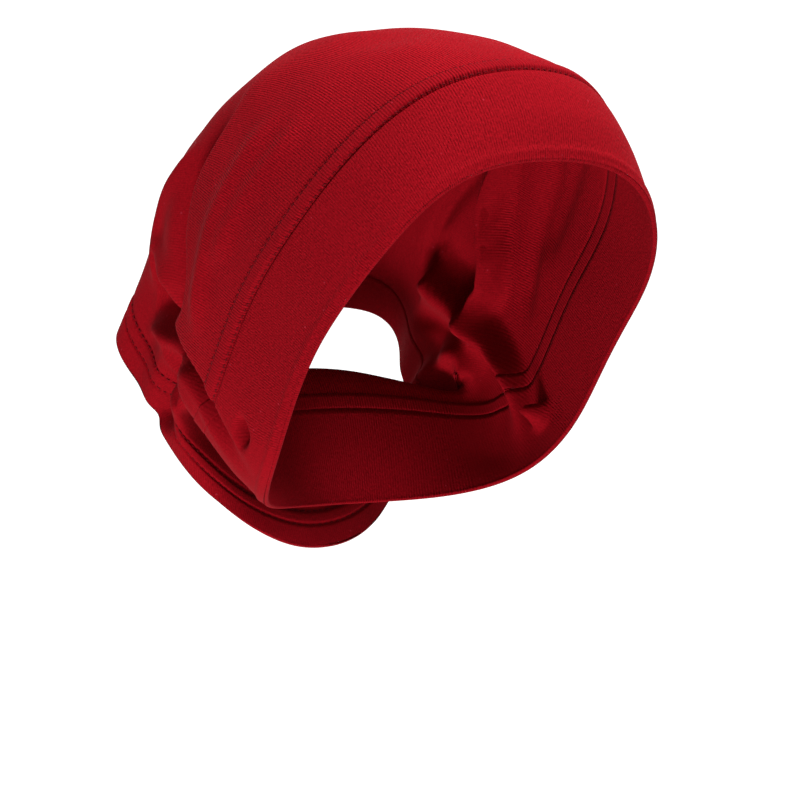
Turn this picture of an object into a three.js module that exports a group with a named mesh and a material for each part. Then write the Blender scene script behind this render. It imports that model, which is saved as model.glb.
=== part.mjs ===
import * as THREE from 'three';

// Underscarf cap of dark red jersey, in the form it has when it is worn.
// Millimetres, +Z up. The face opening looks along -Y and the wearer's right is -X.
// The origin is on the inside of the crown's top, where the top of the head touches it.

// The worn form
const halfWidth = 78; // middle of the cap to the cloth over one ear
const halfLength = 100; // unit of the front-to-back reach
const drop = 200; // top of the crown to the lowest part of the nape

// The sewn pieces, measured along the cloth
const bandWidth = 38.5;
const seamWidth = 7;
const hemWidth = 16;
const clearance = 0.5; // between neighbouring pieces

// The cloth
const bandWall = 2.2; // two layers of jersey, folded at the face edge
const seamWall = 2.6; // the strip stands proud of the band
const crownWall = 1.5;
const hemWall = 2;

// The folds
const foldDepth = 10; // depth of the deepest fold
const foldSpread = 10; // breadth of a soft fold, from its line to where it has faded

// Faces round the cap and along each piece
const turns = 80;
const crowding = 0.15; // how much closer the turns lie at the sides, where the folds are
const bandRows = 5;
const seamRows = 2;
const crownRows = 22;
const hemRows = 3;

// Each row is one section of the cloth, from the face edge to the hem edge. Its columns run down one
// side of the loop in six even turns, from the middle of the top to the middle of the nape.
// side is a share of halfWidth, back of halfLength and up of drop.
const sections = [
  {
    name: 'face edge',
    side: [0, 0.59, 0.88, 0.9, 0.72, 0],
    back: [-0.82, -0.77, -0.5, -0.17, 0.24, 0.62],
    up: [-0.24, -0.3, -0.49, -0.685, -0.885, -0.93],
  },
  {
    name: 'middle of the band',
    side: [0, 0.63, 0.93, 0.95, 0.79, 0],
    back: [-0.77, -0.64, -0.3, 0.04, 0.4, 0.68],
    up: [-0.14, -0.215, -0.42, -0.63, -0.83, -0.815],
  },
  {
    name: 'seam',
    side: [0, 0.64, 0.97, 1, 0.85, 0],
    back: [-0.61, -0.45, -0.08, 0.26, 0.57, 0.76],
    up: [-0.06, -0.14, -0.355, -0.57, -0.745, -0.71],
  },
  {
    name: 'front of the crown',
    side: [0, 0.64, 0.97, 1, 0.86, 0],
    back: [-0.2, -0.06, 0.24, 0.49, 0.64, 0.85],
    up: [-0.01, -0.075, -0.28, -0.515, -0.72, -0.665],
  },
  {
    name: 'top of the crown',
    side: [0, 0.64, 0.95, 0.95, 0.86, 0],
    back: [0.32, 0.36, 0.5, 0.66, 0.71, 0.92],
    up: [0, -0.07, -0.255, -0.485, -0.73, -0.7],
  },
  {
    name: 'back of the head',
    side: [0, 0.56, 0.84, 0.87, 0.81, 0],
    back: [0.8, 0.79, 0.76, 0.79, 0.77, 0.9],
    up: [-0.135, -0.18, -0.31, -0.53, -0.755, -0.79],
  },
  {
    name: 'start of the hem',
    side: [0, 0.56, 0.81, 0.83, 0.77, 0],
    back: [1.06, 1.04, 0.95, 0.91, 0.82, 0.8],
    up: [-0.33, -0.355, -0.445, -0.61, -0.785, -0.91],
  },
  {
    name: 'hem edge',
    side: [0, 0.56, 0.86, 0.82, 0.715, 0],
    back: [1.22, 1.21, 1.16, 1.05, 0.9, 0.7],
    up: [-0.54, -0.55, -0.61, -0.69, -0.825, -1.02],
  },
];

// Each row is one fold. path holds degrees round the loop and shares along the crown, where less than
// none is on the band and more than one on the hem. depth is a share of foldDepth. ahead and behind are
// shares of foldSpread: how far the fold fades towards the face and towards the hem.
const folds = [
  {
    name: 'lap behind the ear',
    depth: -0.9,
    ahead: 0.7,
    behind: 0.9,
    path: [
      [38, 0.42], [50, 0.4], [64, 0.42], [78, 0.43], [92, 0.42], [104, 0.41], [112, 0.44],
      [118, 0.42], [123, 0.22], [127, 0], [131, -0.3],
    ],
  },
  {
    name: 'pocket over the hem',
    depth: -0.8,
    ahead: 1.1,
    behind: 1,
    path: [[88, 0.74], [96, 0.69], [104, 0.64], [111, 0.6], [117, 0.55], [122, 0.45]],
  },
  {
    name: 'roll along the hem',
    depth: 0.25,
    ahead: 0.6,
    behind: 0.6,
    path: [[88, 1], [100, 0.92], [109, 0.86], [117, 0.8], [124, 0.7], [130, 0.5]],
  },
  {
    name: 'nick in the hem',
    depth: -0.7,
    ahead: 0.8,
    behind: 0.8,
    path: [[121, 0.72], [126, 0.95], [131, 1.12], [134, 1.25], [137, 1.4]],
  },
  {
    name: 'first soft wrinkle',
    depth: 0.2,
    ahead: 0.5,
    behind: 0.5,
    path: [[46, 0.13], [58, 0.13], [70, 0.15], [84, 0.155], [96, 0.16]],
  },
  {
    name: 'second soft wrinkle',
    depth: 0.24,
    ahead: 0.5,
    behind: 0.5,
    path: [[48, 0.2], [60, 0.215], [74, 0.22], [90, 0.22], [104, 0.2], [114, 0.16]],
  },
  {
    name: 'ridge down the back panel',
    depth: 0.25,
    ahead: 0.5,
    behind: 0.4,
    path: [[58, 0.5], [70, 0.5], [79, 0.6], [84, 0.74], [82, 0.88]],
  },
];

// Value of a smooth even or odd wave through the six columns of a row, at an angle from the top
function evenWave(values, angle) {
  const last = values.length - 1;
  let sum = 0;
  for (let order = 0; order <= last; order++) {
    let weight = 0;
    for (let k = 0; k <= last; k++) {
      const share = k === 0 || k === last ? 0.5 : 1;
      weight += (share * values[k] * Math.cos((Math.PI * order * k) / last) * 2) / last;
    }
    sum += (order === 0 || order === last ? 0.5 : 1) * weight * Math.cos(order * angle);
  }
  return sum;
}

function oddWave(values, angle) {
  const last = values.length - 1;
  let sum = 0;
  for (let order = 1; order < last; order++) {
    let weight = 0;
    for (let k = 1; k < last; k++) weight += (values[k] * Math.sin((Math.PI * order * k) / last) * 2) / last;
    sum += weight * Math.sin(order * angle);
  }
  return sum;
}

// The middle line of the cloth from the face edge to the hem edge, at one angle round the cap
function clothLine(angle) {
  const points = sections.map(
    (row) =>
      new THREE.Vector3(
        -halfWidth * oddWave(row.side, angle),
        halfLength * evenWave(row.back, angle),
        drop * evenWave(row.up, angle),
      ),
  );
  return new THREE.CatmullRomCurve3(points, false, 'catmullrom', 0.5);
}

// Place of the cloth's middle and its outward direction, some millimetres along the line at an angle
const sideStep = 0.02;

function clothAt(lines, at) {
  const share = THREE.MathUtils.clamp(at / lines.here.getLength(), 0, 1);
  const along = lines.here.getTangentAt(share);
  const around = lines.next.getPointAt(share).sub(lines.back.getPointAt(share));
  return { place: lines.here.getPointAt(share), along, out: along.clone().cross(around).normalize() };
}

function linesAt(angle) {
  return { here: clothLine(angle), back: clothLine(angle - sideStep), next: clothLine(angle + sideStep) };
}

// Where each piece starts and ends along a line of the given length
const seamStart = bandWidth + clearance;
const crownStart = seamStart + seamWidth + clearance;
const crownEnd = (length) => length - hemWidth - clearance;

// Each fold as a run of points on the cloth, with the way to its hem side and a strength that fades at both ends
const foldSamples = 24;
const foldFade = 0.25; // share of the run over which a fold dies away
const degree = Math.PI / 180;

function foldRun(fold, mirror) {
  const path = new THREE.SplineCurve(fold.path.map(([turn, share]) => new THREE.Vector2(turn, share)));
  const run = path.getPoints(foldSamples).map((point, k) => {
    const lines = linesAt(mirror * point.x * degree);
    const length = lines.here.getLength();
    const at = THREE.MathUtils.lerp(crownStart, crownEnd(length), point.y);
    const t = k / foldSamples;
    const strength = THREE.MathUtils.smoothstep(Math.min(t, 1 - t), 0, foldFade);
    return { ...clothAt(lines, at), strength };
  });
  run.forEach((point, k) => {
    const ahead = run[Math.min(k + 1, foldSamples)].place;
    const back = run[Math.max(k - 1, 0)].place;
    const course = ahead.clone().sub(back).normalize();
    point.hemward = point.along.clone().addScaledVector(course, -point.along.dot(course));
    point.hemward.addScaledVector(point.out, -point.hemward.dot(point.out)).normalize();
  });
  return { ...fold, run };
}

const foldRuns = folds.flatMap((fold) => [foldRun(fold, 1), foldRun(fold, -1)]);

// How far the folds push the cloth out at a place on it
function foldHeight({ place, out }) {
  let height = 0;
  for (const fold of foldRuns) {
    const nearest = fold.run.reduce((a, b) =>
      a.place.distanceToSquared(place) < b.place.distanceToSquared(place) ? a : b,
    );
    if (nearest.out.dot(out) < 0) continue; // the cloth on the other side of a turn
    const away = place.clone().sub(nearest.place).dot(nearest.hemward);
    const reach = foldSpread * (away < 0 ? fold.ahead : fold.behind);
    height += foldDepth * fold.depth * nearest.strength * Math.exp(-((away / reach) ** 2));
  }
  return height;
}

// The lines round the cap that all pieces share
const loop = Array.from({ length: turns }, (_, k) => {
  const even = (2 * Math.PI * k) / turns;
  return linesAt(even + crowding * Math.sin(2 * even));
});

// The outline of a wall across the cloth: its face, its turned or cut ends and its back
function wallOutline(rows, wall, offset, turnedStart, turnedEnd) {
  const face = [];
  const back = [];
  for (let k = 0; k <= rows; k++) {
    face.push({ share: k / rows, inset: 0, out: offset + wall / 2 });
    back.unshift({ share: k / rows, inset: 0, out: offset - wall / 2 });
  }
  const inset = wall / 2;
  if (turnedStart) {
    face[0].inset = inset;
    back[rows].inset = inset;
    face.unshift({ share: 0, inset: 0, out: offset });
  }
  if (turnedEnd) {
    face[face.length - 1].inset = -inset;
    back[0].inset = -inset;
    face.push({ share: 1, inset: 0, out: offset });
  }
  return [...face, ...back];
}

// A closed band of cloth round the cap: the outline carried along every line of the loop
function clothPiece(name, startAt, endAt, outline, finish) {
  const places = [];
  for (const lines of loop) {
    const length = lines.here.getLength();
    for (const point of outline) {
      const at = THREE.MathUtils.lerp(startAt(length), endAt(length), point.share) + point.inset;
      const cloth = clothAt(lines, at);
      const out = foldHeight(cloth) + point.out;
      places.push(...cloth.place.addScaledVector(cloth.out, out).toArray());
    }
  }
  const faces = [];
  const count = outline.length;
  for (let j = 0; j < turns; j++) {
    for (let i = 0; i < count; i++) {
      const a = j * count + i;
      const b = j * count + ((i + 1) % count);
      const c = ((j + 1) % turns) * count + i;
      const d = ((j + 1) % turns) * count + ((i + 1) % count);
      // the closing wall is split the other way, as the wall that it faces is
      if (i === count - 1) faces.push(a, b, d, a, d, c);
      else faces.push(a, b, c, c, b, d);
    }
  }
  const geometry = new THREE.BufferGeometry();
  geometry.setAttribute('position', new THREE.Float32BufferAttribute(places, 3));
  geometry.setIndex(faces);
  geometry.computeVertexNormals();
  const mesh = new THREE.Mesh(geometry, new THREE.MeshStandardMaterial(finish));
  mesh.name = name;
  return mesh;
}

const redJersey = { color: 0xa0142a, roughness: 0.9, metalness: 0 };
const deepRedJersey = { color: 0x8c1022, roughness: 0.9, metalness: 0 };

const frontBand = clothPiece(
  'front_band',
  () => 0,
  () => bandWidth,
  wallOutline(bandRows, bandWall, 0, true, false),
  redJersey,
);
const bandSeam = clothPiece(
  'band_seam',
  () => seamStart,
  () => seamStart + seamWidth,
  wallOutline(seamRows, seamWall, (seamWall - bandWall) / 2, false, false),
  deepRedJersey,
);
const crown = clothPiece(
  'crown',
  () => crownStart,
  crownEnd,
  wallOutline(crownRows, crownWall, 0, false, false),
  redJersey,
);
const rearHem = clothPiece(
  'rear_hem',
  (length) => length - hemWidth,
  (length) => length,
  wallOutline(hemRows, hemWall, 0, false, true),
  deepRedJersey,
);

// The top of the head touches the crown where the middle line of the top passes over the origin
const seat = clothLine(0).getPoints(400).reduce((a, b) => (Math.abs(b.y) < Math.abs(a.y) ? b : a));

const cap = new THREE.Group();
cap.position.z = crownWall / 2 - seat.z;
cap.add(frontBand, bandSeam, crown, rearHem);
export default cap;
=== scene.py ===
import math

import bpy
import numpy as np
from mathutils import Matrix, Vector


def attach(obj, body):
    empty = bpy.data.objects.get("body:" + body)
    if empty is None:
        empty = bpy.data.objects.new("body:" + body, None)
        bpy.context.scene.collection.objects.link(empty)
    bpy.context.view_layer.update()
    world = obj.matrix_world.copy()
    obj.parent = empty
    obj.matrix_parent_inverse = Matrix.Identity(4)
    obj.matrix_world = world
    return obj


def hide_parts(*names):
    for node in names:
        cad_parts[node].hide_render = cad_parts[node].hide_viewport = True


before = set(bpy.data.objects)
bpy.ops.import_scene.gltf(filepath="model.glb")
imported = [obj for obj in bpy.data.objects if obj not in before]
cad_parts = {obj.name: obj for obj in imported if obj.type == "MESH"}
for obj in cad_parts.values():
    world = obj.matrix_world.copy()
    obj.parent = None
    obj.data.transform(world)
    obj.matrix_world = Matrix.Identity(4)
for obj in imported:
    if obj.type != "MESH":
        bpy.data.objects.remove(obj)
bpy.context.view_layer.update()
print("frame loaded:", ", ".join(sorted(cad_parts)))

mm = 0.001  # the cloth is worked out in millimetres and made in metres

# the worn form and the sewn pieces, in millimetres
cap = {
    "halfWidth": 78,
    "halfLength": 100,
    "drop": 200,
    "bandWidth": 38.5,
    "seamWidth": 7,
    "hemWidth": 16,
    "crownWall": 1.5,
    "foldDepth": 10,
    "foldSpread": 10,
    "foldEnd": 6,  # how far a fold goes on, fading, past its two ends
    "lines": 400,  # lines of cloth round the cap
    "crowding": 0.15,  # how much closer the lines lie at the sides, where the folds are
}

# one row for each section, from the face edge to the hem edge, with six columns from the top to the nape
sections = [
    {"side": [0, 0.59, 0.88, 0.9, 0.72, 0],  # face edge
     "back": [-0.82, -0.77, -0.5, -0.17, 0.24, 0.62],
     "up": [-0.24, -0.3, -0.49, -0.685, -0.885, -0.93]},
    {"side": [0, 0.63, 0.93, 0.95, 0.79, 0],  # middle of the band
     "back": [-0.77, -0.64, -0.3, 0.04, 0.4, 0.68],
     "up": [-0.14, -0.215, -0.42, -0.63, -0.83, -0.815]},
    {"side": [0, 0.64, 0.97, 1, 0.85, 0],  # seam
     "back": [-0.61, -0.45, -0.08, 0.26, 0.57, 0.76],
     "up": [-0.06, -0.14, -0.355, -0.57, -0.745, -0.71]},
    {"side": [0, 0.64, 0.97, 1, 0.86, 0],  # front of the crown
     "back": [-0.2, -0.06, 0.24, 0.49, 0.64, 0.85],
     "up": [-0.01, -0.075, -0.28, -0.515, -0.72, -0.665]},
    {"side": [0, 0.64, 0.95, 0.95, 0.86, 0],  # top of the crown
     "back": [0.32, 0.36, 0.5, 0.66, 0.71, 0.92],
     "up": [0, -0.07, -0.255, -0.485, -0.73, -0.7]},
    {"side": [0, 0.56, 0.84, 0.87, 0.81, 0],  # back of the head
     "back": [0.8, 0.79, 0.76, 0.79, 0.77, 0.9],
     "up": [-0.135, -0.18, -0.31, -0.53, -0.755, -0.79]},
    {"side": [0, 0.56, 0.81, 0.83, 0.77, 0],  # start of the hem
     "back": [1.06, 1.04, 0.95, 0.91, 0.82, 0.8],
     "up": [-0.33, -0.355, -0.445, -0.61, -0.785, -0.91]},
    {"side": [0, 0.56, 0.86, 0.82, 0.715, 0],  # hem edge
     "back": [1.22, 1.21, 1.16, 1.05, 0.9, 0.7],
     "up": [-0.54, -0.55, -0.61, -0.69, -0.825, -1.02]},
]

# one row for each fold: its depth and its reach towards the face and the hem, as shares of the fold sizes,
# and its path in degrees from the top and shares along the crown
folds = [
    {"name": "lap behind the ear", "depth": -0.6, "ahead": 0.22, "behind": 1.1,
     "path": [(38, 0.4), (50, 0.375), (64, 0.385), (78, 0.395), (92, 0.385), (102, 0.355), (108, 0.37),
              (113, 0.44), (118, 0.43), (122, 0.22), (125, 0), (129, -0.28), (134, -0.75), (141, -1.35)]},
    {"name": "crease under the lap", "depth": -1.05, "ahead": 0.16, "behind": 0.6,
     "path": [(50, 0.38), (64, 0.39), (78, 0.4), (92, 0.39), (102, 0.36), (108, 0.375), (113, 0.445),
              (118, 0.435), (122, 0.225), (125, 0.005), (129, -0.27), (134, -0.7)]},
    {"name": "hollow under the roll", "depth": -1.2, "ahead": 0.5, "behind": 0.6,
     "path": [(119, 0.84), (123, 0.74), (127, 0.64), (132, 0.56), (138, 0.5), (145, 0.45)]},
    {"name": "pocket over the hem", "depth": -1.5, "ahead": 0.5, "behind": 0.7,
     "path": [(90, 0.79), (98, 0.75), (106, 0.71), (112, 0.66), (117, 0.59), (121, 0.47), (124, 0.28)]},
    {"name": "brow over the pocket", "depth": 0.35, "ahead": 0.5, "behind": 0.3,
     "path": [(84, 0.7), (92, 0.66), (100, 0.61), (106, 0.56), (111, 0.5)]},
    {"name": "roll along the hem", "depth": 0.42, "ahead": 0.35, "behind": 0.3,
     "path": [(88, 1.0), (100, 0.92), (109, 0.84), (117, 0.72), (123, 0.5), (127, 0.24), (130, 0),
              (135, -0.4), (140, -1.1)]},
    {"name": "nick in the hem", "depth": -1, "ahead": 0.7, "behind": 0.6,
     "path": [(121, 0.72), (126, 0.95), (131, 1.12), (134, 1.25), (137, 1.4)]},
    {"name": "dimple on the band", "depth": -1.6, "ahead": 0.22, "behind": 0.22,
     "path": [(122.8, -0.36), (124.4, -0.43), (126, -0.5), (127.6, -0.57)]},
    {"name": "first soft wrinkle", "depth": 0.28, "ahead": 0.5, "behind": 0.5,
     "path": [(46, 0.13), (58, 0.13), (70, 0.15), (84, 0.155), (96, 0.16)]},
    {"name": "second soft wrinkle", "depth": 0.32, "ahead": 0.5, "behind": 0.5,
     "path": [(48, 0.2), (60, 0.215), (74, 0.22), (90, 0.22), (104, 0.2), (114, 0.16)]},
    {"name": "ridge down the back panel", "depth": 0.38, "ahead": 0.4, "behind": 0.3,
     "path": [(58, 0.5), (70, 0.5), (79, 0.6), (84, 0.74), (82, 0.88)]},
]


def smoothWave(values, angle, odd):
    # a smooth wave through the six columns of a row, odd for the sides and even for the rest
    last = len(values) - 1
    total = np.zeros_like(angle)
    for order in range(last + 1):
        if odd:
            weight = sum(values[k] * math.sin(math.pi * order * k / last) for k in range(1, last))
            total += 2 / last * weight * np.sin(order * angle)
        else:
            ends = [0.5 if k in (0, last) else 1 for k in range(last + 1)]
            weight = sum(e * v * math.cos(math.pi * order * k / last)
                         for k, (e, v) in enumerate(zip(ends, values)))
            total += ends[order] * 2 / last * weight * np.cos(order * angle)
    return total


def unit(v):
    return v / np.maximum(np.linalg.norm(v, axis=-1, keepdims=True), 1e-9)


def clothLines(angle, steps=60):
    # the cloth's middle, as points along one line for each angle
    rows = np.stack([
        np.stack([-cap["halfWidth"] * smoothWave(row["side"], angle, True),
                  cap["halfLength"] * smoothWave(row["back"], angle, False),
                  cap["drop"] * smoothWave(row["up"], angle, False)], -1)
        for row in sections])
    before = 2 * rows[0] - rows[1]
    after = 2 * rows[-1] - rows[-2]
    rows = np.concatenate([before[None], rows, after[None]])
    spans = []
    for k in range(1, len(rows) - 2):
        f = np.linspace(0, 1, steps, endpoint=False)[:, None, None]
        leave, arrive = (rows[k + 1] - rows[k - 1]) / 2, (rows[k + 2] - rows[k]) / 2
        spans.append(rows[k] + leave * f + (3 * (rows[k + 1] - rows[k]) - 2 * leave - arrive) * f ** 2
                     + (2 * (rows[k] - rows[k + 1]) + leave + arrive) * f ** 3)
    return np.concatenate(spans + [rows[-2][None]])


def clothOf(angle):
    # those points with the ways along and out, and the length run along each line
    points = clothLines(angle)
    aside = clothLines(angle + 0.01) - clothLines(angle - 0.01)
    along = unit(np.gradient(points, axis=0))
    step = np.linalg.norm(np.diff(points, axis=0), axis=-1)
    run = np.concatenate([np.zeros((1, len(angle))), np.cumsum(step, 0)])
    return {"points": points, "along": along, "out": unit(np.cross(along, aside)), "run": run}


def onCloth(cloth, at):
    # place, direction along and direction out for millimetres along each line
    found = {}
    for key in ("points", "along", "out"):
        values = np.empty(at.shape + (3,))
        for j in range(at.shape[1]):
            for axis in range(3):
                values[:, j, axis] = np.interp(at[:, j], cloth["run"][:, j], cloth[key][:, j, axis])
        found[key] = values if key == "points" else unit(values)
    return found


seamStart = cap["bandWidth"]
crownStart = seamStart + cap["seamWidth"]


def smoothThrough(values, t):
    # a Catmull-Rom curve through evenly spaced values
    y = np.concatenate([[2 * values[0] - values[1]], values, [2 * values[-1] - values[-2]]])
    place = t * (len(values) - 1)
    k = np.minimum(place.astype(int), len(values) - 2)
    f = place - k
    a, b, c, d = y[k], y[k + 1], y[k + 2], y[k + 3]
    leave, arrive = (c - a) / 2, (d - b) / 2
    return (b + leave * f + (3 * (c - b) - 2 * leave - arrive) * f ** 2
            + (2 * (b - c) + leave + arrive) * f ** 3)


def foldRun(fold, side, samples=48, fade=0.25):
    # a fold's line on the cloth, with the way to its hem side and a strength that fades at both ends
    path = np.array(fold["path"], float)
    t = np.linspace(0, 1, samples)
    turn, share = smoothThrough(path[:, 0], t), smoothThrough(path[:, 1], t)
    cloth = clothOf(np.radians(side * turn))
    crownEnd = cloth["run"][-1] - cap["hemWidth"]
    at = crownStart + (crownEnd - crownStart) * share
    line = {key: value[0] for key, value in onCloth(cloth, at[None]).items()}
    course = unit(np.gradient(line["points"], axis=0))
    hemward = line["along"] - course * (line["along"] * course).sum(-1, keepdims=True)
    hemward = unit(hemward - line["out"] * (hemward * line["out"]).sum(-1, keepdims=True))
    edge = np.clip(np.minimum(t, 1 - t) / fade, 0, 1)
    return {"points": line["points"], "out": line["out"], "course": course, "hemward": hemward,
            "strength": edge ** 2 * (3 - 2 * edge)}


foldRuns = [(fold, foldRun(fold, side)) for fold in folds for side in (1, -1)]


def foldHeight(points, out, batch=20000):
    # how far the folds push the cloth out, in millimetres, worked out for a batch of points at a time
    height = np.zeros(len(points))
    for fold, run in foldRuns:
        middle = run["points"].mean(0)
        far = np.linalg.norm(run["points"] - middle, axis=-1).max() + 3 * cap["foldSpread"]
        close = np.flatnonzero(np.linalg.norm(points - middle, axis=-1) < far)
        for start in range(0, len(close), batch):
            part = close[start:start + batch]
            away = points[part, None] - run["points"][None]
            near = (away ** 2).sum(-1).argmin(1)
            pick = np.arange(len(part))
            onward = (away[pick, near] * run["course"][near]).sum(-1)
            second = np.clip(near + np.where(onward > 0, 1, -1), 0, len(run["points"]) - 1)
            gap = np.linalg.norm(run["points"][second] - run["points"][near], axis=-1)
            mix = np.clip(np.abs(onward) / np.maximum(gap, 1e-6), 0, 1)
            across, strength = (
                first * (1 - mix) + other * mix for first, other in (
                    [(away[pick, k] * run["hemward"][k]).sum(-1) for k in (near, second)],
                    [run["strength"][k] for k in (near, second)]))
            reach = cap["foldSpread"] * np.where(across < 0, fold["ahead"], fold["behind"])
            beside = np.sqrt(np.maximum((away[pick, near] ** 2).sum(-1) - across ** 2 - onward ** 2, 0))
            past = np.maximum(beside - cap["foldEnd"], 0) / cap["foldEnd"]
            same = (out[part] * run["out"][near]).sum(-1) > 0
            height[part] += (same * cap["foldDepth"] * fold["depth"] * strength
                             * np.exp(-(across / reach) ** 2 - past ** 2))
    return height


# the lines round the cap that all the pieces share
turn = np.linspace(0, 2 * np.pi, cap["lines"], endpoint=False)
lineAngle = turn + cap["crowding"] * np.sin(2 * turn)
cloth = clothOf(lineAngle)
lineLength = cloth["run"][-1]
topLine = clothOf(np.array([0.0]))["points"][:, 0]
crownTop = topLine[np.abs(topLine[:, 1]).argmin(), 2]
seatHeight = crownTop - cap["crownWall"] / 2  # the origin is the inside of the crown's top

# how far folds and soft waves push the cloth out, on a grid that every piece reads
grid = {"rows": 480, "smoothings": 4}
fieldAt = np.linspace(0, 1, grid["rows"])[:, None] * lineLength
fieldPlace = onCloth(cloth, fieldAt)
field = foldHeight(fieldPlace["points"].reshape(-1, 3), fieldPlace["out"].reshape(-1, 3))
field = field.reshape(fieldAt.shape)
for _ in range(grid["smoothings"]):
    field[1:-1] = (field[:-2] + 2 * field[1:-1] + field[2:]) / 4
    field = (np.roll(field, 1, 1) + 2 * field + np.roll(field, -1, 1)) / 4

# loose cloth is never quite even, in millimetres, and it is held stiller up to some way behind the seam
waves = {"count": 14, "shortest": 24, "longest": 70, "height": 0.3, "heldFor": 40, "held": 0.15, "seed": 11}
random = np.random.default_rng(waves["seed"])
loose = np.clip((fieldAt - crownStart) / waves["heldFor"], 0, 1)
for _ in range(waves["count"]):
    heading = unit(random.normal(size=3))
    length = random.uniform(waves["shortest"], waves["longest"])
    phase = random.uniform(0, 2 * np.pi)
    wave = np.sin(fieldPlace["points"] @ heading * 2 * np.pi / length + phase)
    lively = waves["held"] + (1 - waves["held"]) * loose
    field += lively * waves["height"] * wave * length / waves["longest"]

# millimetres round the cap at the seam, for the knit
seamRing = onCloth(cloth, np.full((1, cap["lines"]), crownStart))["points"][0]
ringSteps = np.linalg.norm(np.roll(seamRing, -1, 0) - seamRing, axis=-1)
around = np.concatenate([[0], np.cumsum(ringSteps)])
print("cloth worked out: girth at the seam", round(around[-1]), "mm")


def finer(times):
    # the same cloth, field and knit on more lines round the cap, in between the shared ones
    at = np.arange(cap["lines"] * times) / times
    low = at.astype(int)
    mix = at - low
    high = (low + 1) % cap["lines"]
    angle = np.interp(at, np.arange(cap["lines"] + 1), np.append(lineAngle, 2 * np.pi))
    found = clothOf(angle) if times > 1 else cloth
    return {"angle": angle, "cloth": found, "length": found["run"][-1],
            "field": field[:, low] * (1 - mix) + field[:, high] * mix,
            "around": np.interp(np.arange(len(at) + 1) / times, np.arange(cap["lines"] + 1), around)}


shared = finer(1)

folded = {"from": 123, "to": 152, "fade": 3}  # where the seam is folded over, in degrees from the top


def pressed(lines):
    # behind the ears the seam is folded over and lies flat, from 0 to 1
    turned = np.degrees(np.minimum(lines["angle"], 2 * np.pi - lines["angle"]))
    rise = np.clip(np.minimum(turned - folded["from"], folded["to"] - turned) / folded["fade"], 0, 1)
    return rise ** 2 * (3 - 2 * rise)


def surface(lines, at, out):
    # points that many millimetres along each line and out from the cloth's middle
    place = onCloth(lines["cloth"], at)
    share = at / lines["length"] * (len(fieldAt) - 1)
    low = np.clip(share.astype(int), 0, len(fieldAt) - 2)
    mix = share - low
    column = np.arange(at.shape[1])
    height = lines["field"][low, column] * (1 - mix) + lines["field"][low + 1, column] * mix
    points = place["points"] + place["out"] * (height + out)[..., None]
    points[..., 2] -= seatHeight
    return points, place["out"], height


# the cloth hangs loose past these shares of the crown, and in folds this deep, in millimetres
slackCloth = {"from": 1 / 3, "to": 0.5, "foldDepth": 3}


def clothPiece(name, outline, lines, span, shape, fromHem=False):
    # outline rows are (share along, inset, out), carried round every line; the knit map is in millimetres
    share, inset, out = (np.array(column)[:, None] for column in zip(*outline))
    start, end = (np.broadcast_to(edge, lines["length"].shape) for edge in span)
    at = start + (end - start) * share + inset
    face = (np.arange(len(outline)) < np.argmax(share) + 1)[:, None]
    points, _, height = surface(lines, at, out + face * shape(at, lines))
    rows, count = at.shape
    i, j = (index.ravel() for index in np.meshgrid(np.arange(rows), np.arange(count), indexing="ij"))
    n, m = (i + 1) % rows, (j + 1) % count
    faces = np.stack([i * count + j, i * count + m, n * count + m, n * count + j], 1)
    along = lines["length"] - at if fromHem else at
    here, onward = lines["around"][j], lines["around"][j + 1]
    knit = np.stack([here, along[i, j], onward, along[i, m], onward, along[n, m], here, along[n, j]], 1)
    mesh = bpy.data.meshes.new(name)
    mesh.from_pydata(points.reshape(-1, 3) * mm, [], faces.tolist())
    mesh.uv_layers.new(name="knit").data.foreach_set("uv", knit.ravel())
    mesh.polygons.foreach_set("use_smooth", [True] * len(mesh.polygons))
    crownShare = (at - crownStart) / (lines["length"] - cap["hemWidth"] - crownStart)
    slack = np.clip((crownShare - slackCloth["from"]) / (slackCloth["to"] - slackCloth["from"]), 0, 1)
    slack = np.maximum(np.maximum(slack, np.clip(-height / slackCloth["foldDepth"], 0, 1)), pressed(lines))
    mesh.attributes.new("slack", "FLOAT", "POINT").data.foreach_set("value", slack.ravel())
    mesh.update()
    piece = bpy.data.objects.new(name, mesh)
    bpy.context.collection.objects.link(piece)
    return piece


def wallOutline(piece, turnedStart=False, turnedEnd=False):
    # the section of a wall: its face, its end, its back and its start, with turned edges rounded
    half, offset, backRows = piece["wall"] / 2, piece.get("offset", 0), piece["backRows"]
    spread = np.linspace(0, 1, piece["rows"] + 1)
    if "dense" in piece:
        spread = np.interp(spread, *zip(*piece["dense"]))
    face = [[share, 0, offset + half] for share in spread]
    back = [[1 - k / backRows, 0, offset - half] for k in range(backRows + 1)]
    arc = [math.radians(a) for a in (-60, -30, 0, 30, 60)]
    if turnedStart:
        face[0][1] = back[-1][1] = half
        face = [[0, half - half * math.cos(a), offset + half * math.sin(a)] for a in arc] + face
    if turnedEnd:
        face[-1][1] = back[0][1] = -half
        face += [[1, half * math.cos(a) - half, offset + half * math.sin(a)] for a in reversed(arc)]
    return face + back


def dip(away, width):
    # 1 on a line across the cloth, falling to nothing within twice that width
    return np.exp(-(away / width) ** 2)


def srgb(hexColour):
    # an sRGB hex value as linear red, green, blue and alpha
    parts = [int(hexColour[i:i + 2], 16) / 255 for i in (1, 3, 5)]
    return [c / 12.92 if c <= 0.04045 else ((c + 0.055) / 1.055) ** 2.4 for c in parts] + [1]


def addNode(tree, kind, inputs=None, **settings):
    # a node with its settings; an input is either a value or another node's output
    node = tree.nodes.new(kind)
    for key, value in settings.items():
        setattr(node, key, value)
    for key, value in (inputs or {}).items():
        if isinstance(value, bpy.types.NodeSocket):
            tree.links.new(value, node.inputs[key])
        else:
            node.inputs[key].default_value = value
    return node


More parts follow.
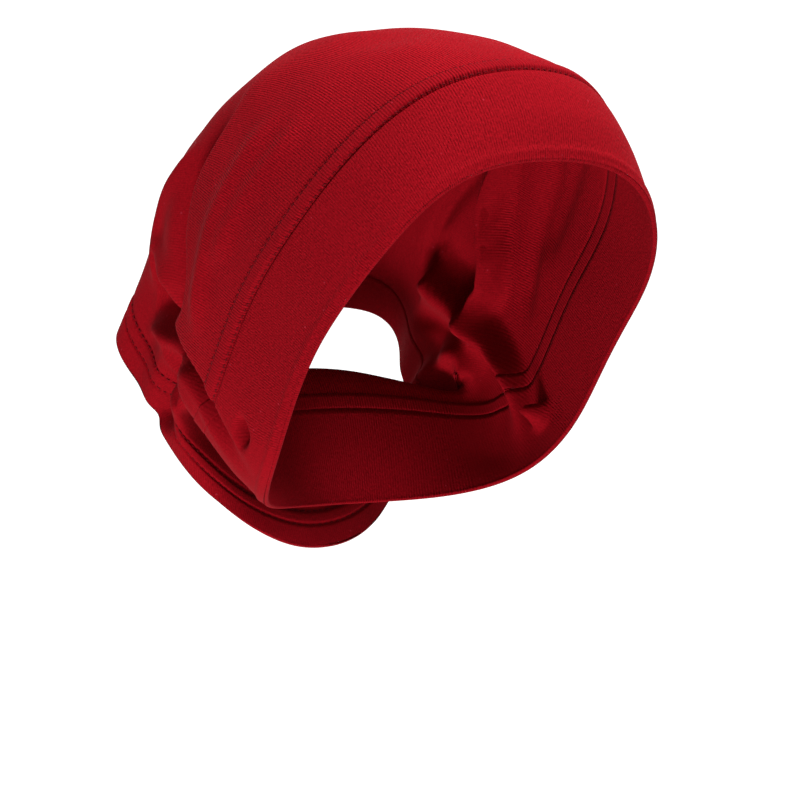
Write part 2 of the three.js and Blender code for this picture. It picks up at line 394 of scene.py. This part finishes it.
# how far apart the marks in the cloth and the painted glints are, and how far it stands up, in millimetres
grain = {"wander": 14, "patch": 36, "fibre": 0.7, "dye": 62, "paintedGlint": 4.8, "raised": 0.25}


def jersey(name, look):
    # piece-dyed cotton jersey: matt and faintly hairy, knitted in fine wales that run from face to hem
    material = bpy.data.materials.new(name)
    material.use_nodes = True
    tree = material.node_tree
    tree.nodes.clear()
    knitMap = addNode(tree, "ShaderNodeUVMap", uv_map="knit")
    knit = addNode(tree, "ShaderNodeSeparateXYZ", {0: knitMap.outputs[0]})
    place = addNode(tree, "ShaderNodeTexCoord").outputs["Object"]
    # wales wander a little, as worn jersey does
    wander = addNode(tree, "ShaderNodeTexNoise", {
        "Vector": place, "Scale": 1 / (grain["wander"] * mm), "Detail": 1})
    across = addNode(tree, "ShaderNodeMath", {0: wander.outputs[0], 1: look["drift"], 2: knit.outputs[0]},
                     operation="MULTIPLY_ADD")
    turns = addNode(tree, "ShaderNodeMath", {0: across.outputs[0], 1: 2 * math.pi / look["wale"]},
                    operation="MULTIPLY")
    wave = addNode(tree, "ShaderNodeMath", {0: turns.outputs[0]}, operation="SINE")
    wale = addNode(tree, "ShaderNodeMath", {0: wave.outputs[0], 1: 0.5, 2: 0.5}, operation="MULTIPLY_ADD")
    # each wale is a chain of loops that catch the light as short uneven dashes, drawn longer than real ones
    cellX = addNode(tree, "ShaderNodeMath", {0: across.outputs[0], 1: 2 / look["wale"]},
                    operation="MULTIPLY")
    cellY = addNode(tree, "ShaderNodeMath", {0: knit.outputs[1], 1: 1 / look["course"]},
                    operation="MULTIPLY")
    cell = addNode(tree, "ShaderNodeCombineXYZ", {0: cellX.outputs[0], 1: cellY.outputs[0]})
    dashes = addNode(tree, "ShaderNodeTexNoise", {"Vector": cell.outputs[0], "Scale": 1, "Detail": 0})
    loop = addNode(tree, "ShaderNodeMapRange", {0: dashes.outputs[0], 1: 0.25, 2: 0.75, 3: -1, 4: 1})
    height = addNode(tree, "ShaderNodeMath", {0: loop.outputs[0], 1: look["loops"], 2: wale.outputs[0]},
                     operation="MULTIPLY_ADD")
    # the wales show where the cloth is stretched, and less in patches and where it hangs loose
    patch = addNode(tree, "ShaderNodeTexNoise", {
        "Vector": place, "Scale": 1 / (grain["patch"] * mm), "Detail": 2, "Roughness": 0.6})
    patchy = addNode(tree, "ShaderNodeMapRange", {0: patch.outputs[0], 1: 0.3, 2: 0.7, 3: 0.5, 4: 1})
    slack = addNode(tree, "ShaderNodeAttribute", attribute_name="slack")
    taut = addNode(tree, "ShaderNodeMapRange", {0: slack.outputs["Fac"], 3: 1, 4: look["loose"]})
    plain = addNode(tree, "ShaderNodeMath", {0: patchy.outputs[0], 1: taut.outputs[0]},
                    operation="MULTIPLY")
    knitted = addNode(tree, "ShaderNodeMath", {0: height.outputs[0], 1: plain.outputs[0]},
                      operation="MULTIPLY")
    fuzz = addNode(tree, "ShaderNodeTexNoise", {
        "Vector": place, "Scale": 1 / (grain["fibre"] * mm), "Detail": 2, "Roughness": 0.7})
    rough = addNode(tree, "ShaderNodeMath", {0: fuzz.outputs[0], 1: 0.5, 2: knitted.outputs[0]},
                    operation="MULTIPLY_ADD")
    bumps = addNode(tree, "ShaderNodeBump", {
        "Strength": look["relief"], "Distance": grain["raised"] * mm, "Height": rough.outputs[0]})
    # painted shade between the wales and painted highlights on their loops, mottled yarn, uneven dye and a
    # few painted glints
    low = addNode(tree, "ShaderNodeMath", {0: height.outputs[0], 1: 0.5}, operation="SUBTRACT")
    strength = addNode(tree, "ShaderNodeMath", {0: plain.outputs[0], 1: look["contrast"]},
                       operation="MULTIPLY")
    middle = 0.5 - (look["mottle"] + 0.5) / 2  # the fibre and dye noises average a half
    # the knit's height is painted into the colour: painted shade between the wales and painted highlights on
    # the loops
    lit = addNode(tree, "ShaderNodeMath", {0: low.outputs[0], 1: strength.outputs[0], 2: middle},
                  operation="MULTIPLY_ADD")
    mottled = addNode(tree, "ShaderNodeMath", {0: fuzz.outputs[0], 1: look["mottle"], 2: lit.outputs[0]},
                      operation="MULTIPLY_ADD")
    dye = addNode(tree, "ShaderNodeTexNoise", {
        "Vector": place, "Scale": 1 / (grain["dye"] * mm), "Detail": 2, "Roughness": 0.55})
    shade = addNode(tree, "ShaderNodeMath", {0: dye.outputs[0], 1: 0.5, 2: mottled.outputs[0]},
                    operation="MULTIPLY_ADD")
    yarn = addNode(tree, "ShaderNodeMix", {
        0: shade.outputs[0], 6: srgb(look["deep"]), 7: srgb(look["light"])}, data_type="RGBA")
    # painted glints: a few small pale spots in the colour where threads would catch the light
    cells = addNode(tree, "ShaderNodeTexVoronoi", {"Vector": place, "Scale": 1 / (grain["paintedGlint"] * mm)})
    speck = addNode(tree, "ShaderNodeMapRange", {
        0: cells.outputs["Distance"], 1: 0.05, 2: 0.1, 3: 0.3, 4: 0})
    pick = addNode(tree, "ShaderNodeSeparateXYZ", {0: cells.outputs["Color"]})
    few = addNode(tree, "ShaderNodeMath", {0: pick.outputs[0], 1: 0.8}, operation="GREATER_THAN")
    paintedGlint = addNode(tree, "ShaderNodeMath", {0: speck.outputs[0], 1: few.outputs[0]}, operation="MULTIPLY")
    colour = addNode(tree, "ShaderNodeMix", {
        0: paintedGlint.outputs[0], 6: yarn.outputs[2], 7: srgb("#A03040")}, data_type="RGBA")
    shader = addNode(tree, "ShaderNodeBsdfPrincipled", {
        "Base Color": colour.outputs[2], "Roughness": 0.85, "Specular IOR Level": 0.02,
        "Sheen Weight": look["sheen"], "Sheen Roughness": 0.45, "Sheen Tint": srgb("#FF7F8C"),
        "Normal": bumps.outputs[0]})
    addNode(tree, "ShaderNodeOutputMaterial", {0: shader.outputs[0]})
    return material


# wale, course and drift in millimetres; loose is how much of the knit still shows where the cloth hangs
# slack; contrast is how strongly the knit's shade and highlights are painted
crownJersey = jersey("red cotton jersey, single knit", {
    "wale": 1.1, "course": 1.3, "drift": 0.5, "loops": 0.35, "relief": 0.7, "contrast": 0.95,
    "mottle": 1.25, "loose": 0.3, "deep": "#520207", "light": "#7E0711", "sheen": 0.01})
bandJersey = jersey("red cotton jersey, doubled and stretched", {
    "wale": 1.1, "course": 1.3, "drift": 0.4, "loops": 0.6, "relief": 0.6, "contrast": 0.7,
    "mottle": 1.5, "loose": 0.3, "deep": "#570207", "light": "#770610", "sheen": 0.01})
stripJersey = jersey("red cotton jersey, ribbed by the seam under it", {
    "wale": 1.15, "course": 2.9, "drift": 0.3, "loops": 0.2, "relief": 0.9, "contrast": 0.8,
    "mottle": 1, "loose": 0.2, "deep": "#520207", "light": "#7A0711", "sheen": 0.01})

lapped = 0.5  # the pieces run this far into each other at the seams, in millimetres

# crown: one layer, long over the top and loose behind the ears, with more rows of its face where the lap is
crown = {"wall": cap["crownWall"], "rows": 188, "backRows": 50,
         "dense": [(0, 0), (0.18, 0.28), (0.6, 0.52), (1, 1)], "pulled": 0.75, "pulledWidth": 1.1}


def crownShape(at, lines):
    # pulled down where the hem starts
    return -crown["pulled"] * dip(lines["length"] - cap["hemWidth"] - at, crown["pulledWidth"])


crownPiece = clothPiece("crown_cloth", wallOutline(crown), shared,
                        (crownStart - lapped, shared["length"] - cap["hemWidth"] + lapped), crownShape)
print("crown made:", len(crownPiece.data.polygons), "faces")

# band: two layers folded at the face edge, with a soft crease behind the fold
band = {"wall": 2.2, "rows": 64, "backRows": 16, "creaseAt": 4.2, "creaseHeight": 0.55, "creaseWidth": 1.3,
        "rolled": 0.35, "rolledWidth": 1.8, "sunk": 1.5, "sunkWidth": 0.9, "sunkWhenFolded": 0.15}


def bandShape(at, lines):
    # creased behind its folded edge, and pulled down by the seam
    crease = band["creaseHeight"] * dip(at - band["creaseAt"], band["creaseWidth"])
    rolled = band["rolled"] * dip(at, band["rolledWidth"])
    pull = 1 - (1 - band["sunkWhenFolded"]) * pressed(lines)
    sunk = band["sunk"] * pull * dip(cap["bandWidth"] - at, band["sunkWidth"])
    return crease - rolled - sunk


bandPiece = clothPiece("band_cloth", wallOutline(band, turnedStart=True), shared,
                       (0, cap["bandWidth"] + lapped), bandShape)
print("band made:", len(bandPiece.data.polygons), "faces")

# seam strip: the allowance folded back and caught down by two rows of stitches
strip = {"wall": 2.6, "rows": 26, "backRows": 4, "offset": 0.25, "lines": 4, "pitch": 2.9, "pucker": 0.28,
         "raised": 0.25, "pulled": 0.55, "pulledWidth": 1.1, "flat": 0.35,
         "front": {"row": 0.5, "groove": 1.1, "width": 0.8, "threadSunk": 1.05},
         "rear": {"row": 0.6, "groove": 0.45, "width": 0.45, "threadSunk": 0.5}, "threadFolded": 1}


def stitchWave(lines):
    # the cloth puckers once for each stitch
    return np.cos(2 * np.pi * lines["around"][:-1] / strip["pitch"])


def stripShape(at, lines):
    flat = pressed(lines)
    pull = dip(np.minimum(at - seamStart, crownStart - at), strip["pulledWidth"])
    front = strip["front"]["groove"] * dip(at - seamStart, strip["front"]["width"])
    rear = strip["rear"]["groove"] * dip(crownStart - strip["rear"]["row"] - at, strip["rear"]["width"])
    raised = strip["raised"] + pull * (strip["pucker"] * stitchWave(lines) - strip["pulled"]) - front - rear
    return raised * (1 - flat) - strip["flat"] * flat


stripLines = finer(strip["lines"])
seamPiece = clothPiece("seam_cloth", wallOutline(strip), stripLines, (seamStart, crownStart), stripShape)
print("seam strip made:", len(seamPiece.data.polygons), "faces")

# hem: turned in and sewn with a twin row
hem = {"wall": 2.0, "rows": 48, "backRows": 10, "lines": 2, "groove": 0.75, "pucker": 0.25,
       "rowAt": 9.6, "rowWidth": 0.7, "start": 1.4, "startWidth": 1.1, "startRow": 0.4}


def hemShape(at, lines):
    fromEdge = lines["length"] - at
    row = dip(fromEdge - hem["rowAt"], hem["rowWidth"])
    start = hem["start"] * dip(fromEdge - cap["hemWidth"], hem["startWidth"])
    return -hem["groove"] * (row + start) * (1 + hem["pucker"] * stitchWave(lines))


hemLines = finer(hem["lines"])
hemPiece = clothPiece("hem_cloth", wallOutline(hem, turnedEnd=True), hemLines,
                      (hemLines["length"] - cap["hemWidth"], hemLines["length"]), hemShape, fromHem=True)
print("hem made:", len(hemPiece.data.polygons), "faces")

for piece, material in ((crownPiece, crownJersey), (bandPiece, bandJersey),
                        (seamPiece, stripJersey), (hemPiece, crownJersey)):
    piece.data.materials.append(material)

ply = {"length": 0.4, "raised": 0.1}  # the twist of the thread, in millimetres


def threadMaterial():
    # spun polyester thread, dyed to match and a little shinier than the cloth
    material = bpy.data.materials.new("red sewing thread")
    material.use_nodes = True
    tree = material.node_tree
    shader = tree.nodes["Principled BSDF"]
    place = addNode(tree, "ShaderNodeTexCoord").outputs["Object"]
    plies = addNode(tree, "ShaderNodeTexNoise", {
        "Vector": place, "Scale": 1 / (ply["length"] * mm), "Detail": 2})
    shade = addNode(tree, "ShaderNodeMix", {
        0: plies.outputs["Fac"], 6: srgb("#3A0206"), 7: srgb("#5E060E")}, data_type="RGBA")
    bumps = addNode(tree, "ShaderNodeBump", {
        "Strength": 0.5, "Distance": ply["raised"] * mm, "Height": plies.outputs["Fac"]})
    tree.links.new(shade.outputs[2], shader.inputs["Base Color"])
    tree.links.new(bumps.outputs[0], shader.inputs["Normal"])
    shader.inputs["Roughness"].default_value = 0.7
    shader.inputs["Specular IOR Level"].default_value = 0.05
    return material


# stitches: one row of thread arches along each closed line of a guide mesh, with the lengths in metres
stitch = {"Pitch": strip["pitch"] * mm, "Stitch length": 0.0021, "Thread radius": 0.00024, "Rise": 0.00022,
          "Sink": 0.0004, "Unevenness": 0.12, "Seed": 4}
tree = bpy.data.node_groups.new("stitch rows", "GeometryNodeTree")
tree.interface.new_socket("Rows", in_out="INPUT", socket_type="NodeSocketGeometry")
for label in stitch:
    kind = "NodeSocketInt" if label == "Seed" else "NodeSocketFloat"
    tree.interface.new_socket(label, in_out="INPUT", socket_type=kind)
tree.interface.new_socket("Thread", in_out="INPUT", socket_type="NodeSocketMaterial")
tree.interface.new_socket("Stitches", in_out="OUTPUT", socket_type="NodeSocketGeometry")
given = addNode(tree, "NodeGroupInput").outputs
rowCurve = addNode(tree, "GeometryNodeMeshToCurve", {"Mesh": given["Rows"]})
even = addNode(tree, "GeometryNodeResampleCurve", {
    "Curve": rowCurve.outputs["Curve"], "Length": given["Pitch"]}, mode="LENGTH")
half = addNode(tree, "ShaderNodeMath", {0: given["Stitch length"], 1: 0.5}, operation="MULTIPLY").outputs[0]
minus = addNode(tree, "ShaderNodeMath", {0: half, 1: -1}, operation="MULTIPLY").outputs[0]
down = addNode(tree, "ShaderNodeMath", {0: given["Sink"], 1: -1}, operation="MULTIPLY").outputs[0]
crest = addNode(tree, "ShaderNodeMath", {0: given["Rise"], 1: 2, 2: given["Sink"]},
                operation="MULTIPLY_ADD").outputs[0]
arch = addNode(tree, "GeometryNodeCurveQuadraticBezier", {
    "Resolution": 6, "Start": addNode(tree, "ShaderNodeCombineXYZ", {"X": minus, "Z": down}).outputs[0],
    "Middle": addNode(tree, "ShaderNodeCombineXYZ", {"Z": crest}).outputs[0],
    "End": addNode(tree, "ShaderNodeCombineXYZ", {"X": half, "Z": down}).outputs[0]})
ring = addNode(tree, "GeometryNodeCurvePrimitiveCircle", {
    "Resolution": 6, "Radius": given["Thread radius"]})
loop = addNode(tree, "GeometryNodeCurveToMesh", {
    "Curve": arch.outputs[0], "Profile Curve": ring.outputs[0], "Fill Caps": True})
course = addNode(tree, "GeometryNodeInputTangent").outputs[0]
outward = addNode(tree, "GeometryNodeInputNamedAttribute", {"Name": "outward"},
                  data_type="FLOAT_VECTOR").outputs[0]
turnX = addNode(tree, "FunctionNodeAlignRotationToVector", {"Vector": course}, axis="X")
turnZ = addNode(tree, "FunctionNodeAlignRotationToVector", {
    "Rotation": turnX.outputs[0], "Vector": outward}, axis="Z", pivot_axis="X")
least = addNode(tree, "ShaderNodeMath", {0: 1, 1: given["Unevenness"]}, operation="SUBTRACT").outputs[0]
most = addNode(tree, "ShaderNodeMath", {0: 1, 1: given["Unevenness"]}, operation="ADD").outputs[0]
size = addNode(tree, "FunctionNodeRandomValue", {"Seed": given["Seed"]}, data_type="FLOAT")
tree.links.new(least, size.inputs[2])
tree.links.new(most, size.inputs[3])
placed = addNode(tree, "GeometryNodeInstanceOnPoints", {
    "Points": even.outputs[0], "Instance": loop.outputs[0], "Rotation": turnZ.outputs[0],
    "Scale": size.outputs[1]})
whole = addNode(tree, "GeometryNodeRealizeInstances", {0: placed.outputs[0]})
finished = addNode(tree, "GeometryNodeSetMaterial", {
    "Geometry": whole.outputs[0], "Material": given["Thread"]})
addNode(tree, "NodeGroupOutput", {"Stitches": finished.outputs[0]})


def rowGuide(lines, at, out, sunk=0):
    # a closed row of points on the cloth, lower where the seam is folded over, with the way out from it
    at = np.broadcast_to(at, lines["length"].shape)
    points, outward, _ = surface(lines, at[None], (out - sunk * pressed(lines))[None])
    return points[0] * mm, outward[0]


stripFace = strip["wall"] / 2 + strip["offset"]
hemFace = hem["wall"] / 2 - hem["groove"]
guides = [
    rowGuide(stripLines, seamStart + strip["front"]["row"], stripFace - strip["front"]["threadSunk"],
             strip["threadFolded"]),
    rowGuide(stripLines, crownStart - strip["rear"]["row"], stripFace - strip["rear"]["threadSunk"],
             strip["threadFolded"]),
    rowGuide(hemLines, hemLines["length"] - hem["rowAt"], hemFace),
    rowGuide(hemLines, hemLines["length"] - cap["hemWidth"] + hem["startRow"], hemFace),
]
guideMesh = bpy.data.meshes.new("stitches")
edges, first = [], 0
for points, outward in guides:
    count = len(points)
    edges += [(first + k, first + (k + 1) % count) for k in range(count)]
    first += count
guideMesh.from_pydata(np.concatenate([g[0] for g in guides]), edges, [])
guideMesh.attributes.new("outward", "FLOAT_VECTOR", "POINT").data.foreach_set(
    "vector", np.concatenate([g[1] for g in guides]).ravel())
guideObject = bpy.data.objects.new("stitch guide", guideMesh)
bpy.context.collection.objects.link(guideObject)
modifier = guideObject.modifiers.new("stitches", "NODES")
modifier.node_group = tree
for item in tree.interface.items_tree:
    if item.in_out == "INPUT" and item.name in stitch:
        modifier[item.identifier] = stitch[item.name]
    elif item.name == "Thread":
        modifier[item.identifier] = threadMaterial()
guideObject.update_tag()
bpy.context.view_layer.update()
sewn = bpy.data.meshes.new_from_object(guideObject.evaluated_get(bpy.context.evaluated_depsgraph_get()))
bpy.data.objects.remove(guideObject)
sewn.polygons.foreach_set("use_smooth", [True] * len(sewn.polygons))
stitches = bpy.data.objects.new("stitches", sewn)
bpy.context.collection.objects.link(stitches)
print("stitches sewn:", len(sewn.polygons), "faces")

for piece, node, slot in ((crownPiece, "crown", "crown_jersey"),
                          (bandPiece, "front_band", "band_jersey"),
                          (seamPiece, "band_seam", "seam_jersey"),
                          (hemPiece, "rear_hem", "hem_jersey")):
    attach(piece, "root")
    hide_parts(node)
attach(stitches, "root")

# camera at the photograph's angle: three quarters from the wearer's right and a little above, with the aim
# seen at that pixel of an image this many pixels wide
view = {"azimuth": -35, "elevation": 4, "distance": 1.5, "lens": 175.5, "sensor": 36,
        "aim": (0, 0, -0.110), "pixel": (423, 321), "image": 800}
azimuth, elevation = math.radians(view["azimuth"]), math.radians(view["elevation"])
level = Vector((math.sin(azimuth), -math.cos(azimuth), 0))
towards = level * math.cos(elevation) + Vector((0, 0, math.sin(elevation)))
right = Vector((math.cos(azimuth), math.sin(azimuth), 0))
upward = towards.cross(right)
metresPerPixel = view["distance"] * view["sensor"] / view["lens"] / view["image"]
beside, below = (place - view["image"] / 2 for place in view["pixel"])
offset = (upward * below - right * beside) * metresPerPixel
camera = bpy.data.objects.new("camera", bpy.data.cameras.new("camera"))
camera.data.lens = view["lens"]
camera.data.sensor_width = view["sensor"]
camera.location = Vector(view["aim"]) + offset + towards * view["distance"]
camera.rotation_mode = "QUATERNION"
camera.rotation_quaternion = towards.to_track_quat("Z", "Y")
bpy.context.collection.objects.link(camera)
bpy.context.scene.camera = camera

# a round white cove: level floor, then a wall that sweeps up all round, in metres
cove = {"floor": -1.1, "middle": 0.001, "flat": 2.2, "bend": 1.2, "bendStart": 0.1, "steps": 14,
        "wall": 2.4, "sides": 96}
profile = [(cove["middle"], cove["floor"]), (cove["flat"], cove["floor"])]
profile += [(cove["flat"] + cove["bend"] * math.sin(a), cove["floor"] + cove["bend"] * (1 - math.cos(a)))
            for a in np.linspace(cove["bendStart"], math.pi / 2, cove["steps"])]
profile += [(cove["flat"] + cove["bend"], cove["floor"] + cove["bend"] + cove["wall"])]
sides = cove["sides"]
spin = [2 * math.pi * k / sides for k in range(sides)]
coveMesh = bpy.data.meshes.new("cove")
coveMesh.from_pydata(
    [(r * math.cos(a), r * math.sin(a), z) for r, z in profile for a in spin], [],
    [(i * sides + j, i * sides + (j + 1) % sides, (i + 1) * sides + (j + 1) % sides, (i + 1) * sides + j)
     for i in range(len(profile) - 1) for j in range(sides)])
coveMesh.polygons.foreach_set("use_smooth", [True] * len(coveMesh.polygons))
floor = bpy.data.objects.new("cove", coveMesh)
bpy.context.collection.objects.link(floor)
# the paper is painted light: it glows though it is no lamp, and its glow also lights the cap
paper = bpy.data.materials.new("white studio paper, glowing as painted light")
paper.use_nodes = True
paperShader = paper.node_tree.nodes["Principled BSDF"]
paperShader.inputs["Base Color"].default_value = srgb("#808080")
paperShader.inputs["Roughness"].default_value = 0.9
paperShader.inputs["Emission Color"].default_value = (1, 1, 1, 1)
# the paper glows most behind the cap, as the photograph is taken, so that its light stays off the front
glow = {"from": -0.8, "to": 1.2, "least": 0.4, "most": 0.96}
paperTree = paper.node_tree
spot = addNode(paperTree, "ShaderNodeTexCoord").outputs["Object"]
behind = addNode(paperTree, "ShaderNodeVectorMath", {0: spot, 1: -level}, operation="DOT_PRODUCT")
strength = addNode(paperTree, "ShaderNodeMapRange", {
    0: behind.outputs["Value"], 1: glow["from"], 2: glow["to"], 3: glow["least"], 4: glow["most"]})
paperTree.links.new(strength.outputs[0], paperShader.inputs["Emission Strength"])
floor.data.materials.append(paper)


def softbox(name, place, size, power, aim=(0, 0, -0.1)):
    # a square lamp turned to the middle of the cap, with its size in metres and its power in watts
    lamp = bpy.data.lights.new(name, "AREA")
    lamp.shape = "SQUARE"
    lamp.size = size
    lamp.energy = power
    light = bpy.data.objects.new(name, lamp)
    light.location = place
    light.rotation_mode = "QUATERNION"
    light.rotation_quaternion = (light.location - Vector(aim)).to_track_quat("Z", "Y")
    bpy.context.collection.objects.link(light)


softbox("key", (0.9, -1.5, 1.4), 0.4, 74)
softbox("top", (0.0, -0.3, 1.9), 0.7, 80)
softbox("low left", (-0.75, -0.45, -1.05), 0.4, 38)
world = bpy.data.worlds.new("studio air")
bpy.context.scene.world = world
world.use_nodes = True
world.node_tree.nodes["Background"].inputs["Color"].default_value = (1, 1, 1, 1)
world.node_tree.nodes["Background"].inputs["Strength"].default_value = 0.1
bpy.context.scene.view_settings.view_transform = "Standard"
print("camera and light set")
